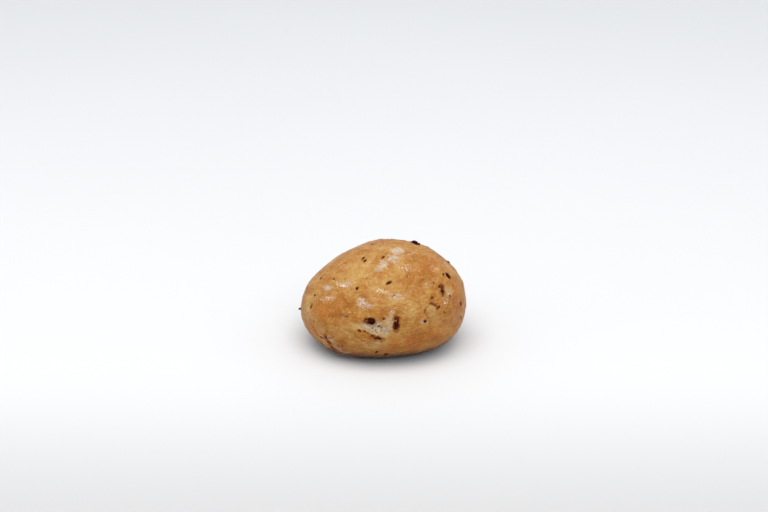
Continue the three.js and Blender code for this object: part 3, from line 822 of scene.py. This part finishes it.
def fruit_material():
    m = Nodes("dried_fruit")
    vec = m.coords()
    a, b = m.noise(vec, 2.0, 3, 0.5, 0.5), m.noise(vec, 0.7, 2, 0.5)
    col = m.ramp(m.total(a, m.around(b, 0.4), m.field("shift")), [
        (0.25, srgb(20, 2, 0)), (0.5, srgb(60, 14, 3)), (0.69, srgb(110, 46, 15)), (0.94, srgb(146, 88, 54))])
    m.link(col, m.shader.inputs["Base Color"])
    m.link(m.step(a, 0.3, 0.7, 0.28, 0.6), m.shader.inputs["Roughness"])
    m.link(m.bump(m.noise(vec, 1.0, 3, 0.5, 0.8), 0.16, 0.6), m.shader.inputs["Normal"])
    m.shader.inputs["Specular IOR Level"].default_value = 0.06
    return m.mat


def fleck_material():
    m = Nodes("dark_flecks")
    vec = m.coords()
    a = m.noise(vec, 0.7, 3, 0.6)
    col = m.ramp(m.total(m.field("shade"), m.around(a, 0.9)), [
        (0.0, srgb(34, 8, 1)), (0.3, srgb(78, 30, 3)), (0.6, srgb(104, 50, 8)), (0.8, srgb(128, 76, 26)),
        (1.0, srgb(188, 162, 126))])
    m.link(col, m.shader.inputs["Base Color"])
    m.link(m.step(a, 0.3, 0.7, 0.35, 0.7), m.shader.inputs["Roughness"])
    m.link(m.bump(m.noise(vec, 0.4, 3, 0.6), 0.15, 0.6), m.shader.inputs["Normal"])
    m.shader.inputs["Specular IOR Level"].default_value = 0.04
    return m.mat


# ------------------------------------------------------------------ the crust
N_CRUST = 126
dirs, quads, chart = cube_ball(N_CRUST)
places, _, looks = crust_field(dirs)
crust = make_object("crust", places, quads)
uv = crust.data.uv_layers.new(name="OFBake")
uv.data.foreach_set("uv", chart.astype(np.float32).ravel())
for key, values in looks.items():
    add_field(crust.data, key, values)
crust.data.materials.append(crust_material())
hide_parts("roll_body")
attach(crust, "root")


# ---------------------------------------------------------- the fruit pieces
fruit_mat = fruit_material()
ball_v, ball_f = ico_ball(4)
for node, az, el, turn, size, proud, seed, openings in FRUIT:
    s = Spot(az, el, turn)
    v = ball_v
    knob = (1 + 0.10 * np.sin(3.1 * v[:, 0] + 2.3 * seed) * np.cos(2.7 * v[:, 1] - 1.1 * seed)
            + 0.07 * np.sin(5.3 * v[:, 0] - 1.7 * seed + 2 * v[:, 2]) + 0.05 * np.cos(6.1 * v[:, 1] + 0.9 * seed))
    local = np.stack([v[:, 0] * size[0] / 2 * knob, v[:, 1] * size[1] / 2 * knob,
                      v[:, 2] * size[2] / 2 * np.minimum(knob, 1.04)], 1)
    # dried fruit is wrinkled in folds along its length
    w = local + 0.5 * np.stack([noise(local / 2.5, 90 + seed), noise(local / 2.5, 91 + seed), noise(local / 2.5, 92 + seed)], 1)
    crease = 1 - np.abs(noise(w * np.array([0.45, 1.0, 1.0]) / 1.35, 95 + seed))
    lump = noise(local / 1.7, 97 + seed)
    inward = -0.42 * smooth(0.6, 1.0, crease) + 0.24 * lump + 0.05 * noise(local / 0.8, 98 + seed) - 0.12
    if node.endswith("crown"):  # dried out and jagged
        inward += 0.55 * np.clip(noise(local / 1.5, 99), -0.2, 1) + 0.3 * noise(local / 0.8, 100)
    if node.endswith("front_left"):  # its middle has sunk in
        inward -= 1.3 * np.exp(-(((local[:, 0] - 0.3) / 1.2) ** 2 + ((local[:, 1] - 0.1) / 0.9) ** 2)) * (v[:, 2] > 0)
    unit = v / np.linalg.norm(v / np.array([1, size[0] / size[1], size[0] / size[2]]), axis=1)[:, None]
    local = local + unit / np.linalg.norm(unit, axis=1)[:, None] * inward[:, None]
    centre = s.p + s.n * (proud - size[2] / 2)
    world = centre + local[:, :1] * s.along + local[:, 1:2] * s.across + local[:, 2:] * s.n
    piece = make_object(node + "_fine", world, ball_f)
    shift = np.full(len(v), {"fruit_bit_front_right": 0.11, "fruit_bit_low_front": 0.15, "fruit_bit_low_left": 0.14, "fruit_bit_right": 0.05,
                            "fruit_bit_crown": -0.08}.get(node, 0.02))
    # darker in its folds and lighter on its lumps: painted shade and painted light
    shift += 0.06 - 0.26 * smooth(0.62, 0.98, crease) + 0.10 * lump
    # its left flank is redder, and its sunk middle is darker with painted shade
    if node.endswith("front_left"):
        shift += 0.26 * smooth(-0.8, -2.2, local[:, 0]) - 0.24 * np.exp(-((local[:, 0] - 0.8) / 1.6) ** 2)
    add_field(piece.data, "shift", shift)
    piece.data.materials.append(fruit_mat)
    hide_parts(node)
    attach(piece, "root")


# ------------------------------------------------------------ the dark flecks
def join_parts(parts):
    verts, faces, count = [], [], 0
    for v, f in parts:
        verts.append(v)
        faces.append(f + count)
        count += len(v)
    return np.concatenate(verts), np.concatenate(faces)


fine_ball, small_ball = ico_ball(3), ico_ball(2)


def shard(i, length, width, thick, ball):
    """A rough broken flake, about length by width by thick mm."""
    b = ball[0]
    v = np.sign(b) * np.abs(b) ** 0.85
    v = v * (1 + 0.60 * noise(b * 1.4 + i * 3.1, 101)[:, None] + 0.42 * noise(b * 3.0 + i * 1.7, 103)[:, None])
    local = v * np.array([length / 2, width / 2, thick / 2])
    local[:, 1] += 0.16 * width * np.sin(local[:, 0] / length * 5 + i)
    local[:, 2] += 0.10 * noise(local / 0.45 + i, 105)
    return local


parts, shade = [], []
fleck_dirs = np.array([heading(f[0], f[1]) for f in FLECKS])
fleck_at, fleck_n, _ = crust_field(fleck_dirs)
pick = np.random.default_rng(77)
for i, (az, el, turn, length, width, tone) in enumerate(FLECKS):
    s = Spot(az, el, turn)
    bits = [(0.0, 0.0, 0.86, 1.0, 0.0)]
    if length > 1.3:  # most have crumbled a little
        bits = [(-0.10, 0.02, 0.66, 0.92, 0.0), (0.34, pick.uniform(-0.25, 0.25), 0.42, 0.75, pick.uniform(-0.5, 0.5)),
                (pick.uniform(-0.55, -0.3), pick.uniform(-0.3, 0.3), 0.26, 0.5, pick.uniform(-0.8, 0.8))]
    for j, (du, dv, fl, fw, spin) in enumerate(bits):
        ball = fine_ball if j == 0 and length > 1.6 else small_ball
        local = shard(3 * i + j, length * fl, width * fw, min(0.8 * width, 0.9) * (0.5 + 0.3 * fw), ball)
        c, n = math.cos(spin), math.sin(spin)
        local = np.stack([local[:, 0] * c - local[:, 1] * n + du * length, local[:, 0] * n + local[:, 1] * c + dv * width, local[:, 2]], 1)
        centre = fleck_at[i] + s.n * (-0.06 + 0.06 * tone - 0.03 * j)
        parts.append((centre + local[:, :1] * s.along + local[:, 1:2] * s.across + local[:, 2:] * s.n, ball[1]))
        shade.append(np.full(len(local), np.clip(tone + pick.uniform(-0.12, 0.12), 0, 1)))
edge_at, _, _ = crust_field(np.array([heading(f[0], f[1]) for f in EDGE_FLAKES]))
for i, (az, el, turn, length, width, rise, tone) in enumerate(EDGE_FLAKES):
    s = Spot(az, el, turn)
    local = shard(200 + i, length, width, 1.5 * rise, fine_ball)
    centre = edge_at[i] + s.n * (rise * 0.10)
    parts.append((centre + local[:, :1] * s.along + local[:, 1:2] * s.across + local[:, 2:] * s.n, fine_ball[1]))
    shade.append(np.full(len(local), tone))
fv, ff = join_parts(parts)
flecks = make_object("dark_flecks", fv, ff)
add_field(flecks.data, "shade", np.concatenate(shade))
flecks.data.materials.append(fleck_material())
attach(flecks, "root")


# ------------------------------------------------------------- floor and light
def sweep(flat_radius, bend, wall, around=128, bends=16):
    """A pale studio floor that curves up into a wall all round, far from the roll."""
    profile = [(0.0, 0.0)] + [(flat_radius * f, 0.0) for f in (0.1, 0.25, 0.5, 0.75, 1.0)]
    for k in range(1, bends + 1):
        t = math.pi / 2 * k / bends
        profile.append((flat_radius + bend * math.sin(t), bend * (1 - math.cos(t))))
    profile.append((flat_radius + bend, bend + wall))
    verts, faces = [(0.0, 0.0, 0.0)], []
    for r, z in profile[1:]:
        for k in range(around):
            a = 2 * math.pi * k / around
            verts.append((r * math.cos(a), r * math.sin(a), z))
    for k in range(around):
        faces.append((0, 1 + k, 1 + (k + 1) % around))
    for j in range(len(profile) - 2):
        a0, b0 = 1 + j * around, 1 + (j + 1) * around
        for k in range(around):
            q = (k + 1) % around
            faces.append((a0 + k, b0 + k, b0 + q, a0 + q))
    mesh = bpy.data.meshes.new("floor")
    mesh.from_pydata(verts, [], faces)
    mesh.polygons.foreach_set("use_smooth", np.full(len(mesh.polygons), True))
    return mesh


floor_mesh = sweep(2.6, 1.0, 0.4)
floor = bpy.data.objects.new("floor", floor_mesh)
floor.location.z = -0.00002
scene.collection.objects.link(floor)
fm = Nodes("pale_floor")
fvec = fm.coords()
fy = fm.add("ShaderNodeSeparateXYZ")
fm.link(fvec, fy.inputs["Vector"])
pale_tone = fm.ramp(fm.noise(fvec, 400, 2, 0.5), [(0.3, srgb(217, 217, 218)), (0.7, srgb(219, 219, 220))])
# the floor is darker in front of the roll: painted shade
front_shade_tone = fm.mix(fm.step(fy.outputs["Y"], -0.22, -0.03, 1.0, 0.0), pale_tone, srgb(193, 192, 192))
out_from_roll = fm.math("SQRT", fm.math("ADD", fm.math("MULTIPLY", fy.outputs["X"], fy.outputs["X"]),
                                      fm.math("MULTIPLY", fy.outputs["Y"], fy.outputs["Y"])))
far_tone = fm.mix(fm.step(out_from_roll, 1.6, 2.5), front_shade_tone, srgb(253, 251, 247))
fm.link(fm.mix(fm.step(fy.outputs["Y"], -2.7, -2.1, 1.0, 0.0), far_tone, srgb(96, 96, 96)), fm.shader.inputs["Base Color"])
fm.link(fm.step(fm.noise(fvec, 3, 3, 0.6), 0.3, 0.7, 0.75, 0.85), fm.shader.inputs["Roughness"])
fm.link(fm.bump(fm.noise(fvec, 1.5, 3, 0.6), 0.02, 0.2), fm.shader.inputs["Normal"])
fm.shader.inputs["Specular IOR Level"].default_value = 0.1
floor_mesh.materials.append(fm.mat)

world = bpy.data.worlds.new("studio")
world.use_nodes = True
scene.world = world
wt = world.node_tree
bg = wt.nodes["Background"]
tc = wt.nodes.new("ShaderNodeTexCoord")
sep = wt.nodes.new("ShaderNodeSeparateXYZ")
wr = wt.nodes.new("ShaderNodeValToRGB")
wt.links.new(tc.outputs["Generated"], sep.inputs["Vector"])
wt.links.new(sep.outputs["Z"], wr.inputs["Fac"])
wr.color_ramp.elements[0].position = 0.0
wr.color_ramp.elements[0].color = (0.865, 0.922, 0.985, 1)
wr.color_ramp.elements[1].position = 0.5
wr.color_ramp.elements[1].color = (0.865, 0.922, 0.985, 1)
extra = wr.color_ramp.elements.new(0.9)
extra.color = (0.515, 0.55, 0.59, 1)
wt.links.new(wr.outputs["Color"], bg.inputs["Color"])
bg.inputs["Strength"].default_value = 1.0


def softbox(name, at, aim, size, watts, colour=(1, 1, 1)):
    data = bpy.data.lights.new(name, "AREA")
    data.shape = "RECTANGLE"
    data.size, data.size_y = size
    data.energy = watts
    data.color = colour
    obj = bpy.data.objects.new(name, data)
    obj.location = at
    obj.rotation_mode = "QUATERNION"
    obj.rotation_quaternion = (Vector(at) - Vector(aim)).to_track_quat("Z", "Y")
    scene.collection.objects.link(obj)


softbox("overhead", (-0.06, -0.48, 1.85), (0, 0, 0), (2.0, 1.8), 32.2, (1.03, 1.0, 0.955))
softbox("front_fill", (0.35, -1.75, 1.35), (0, 0, 0.02), (1.6, 0.9), 7.6, (1.0, 1.0, 1.0))

scene.view_settings.view_transform = "Standard"
scene.view_settings.look = "None"
scene.view_settings.exposure = 0.0
scene.view_settings.gamma = 1.0
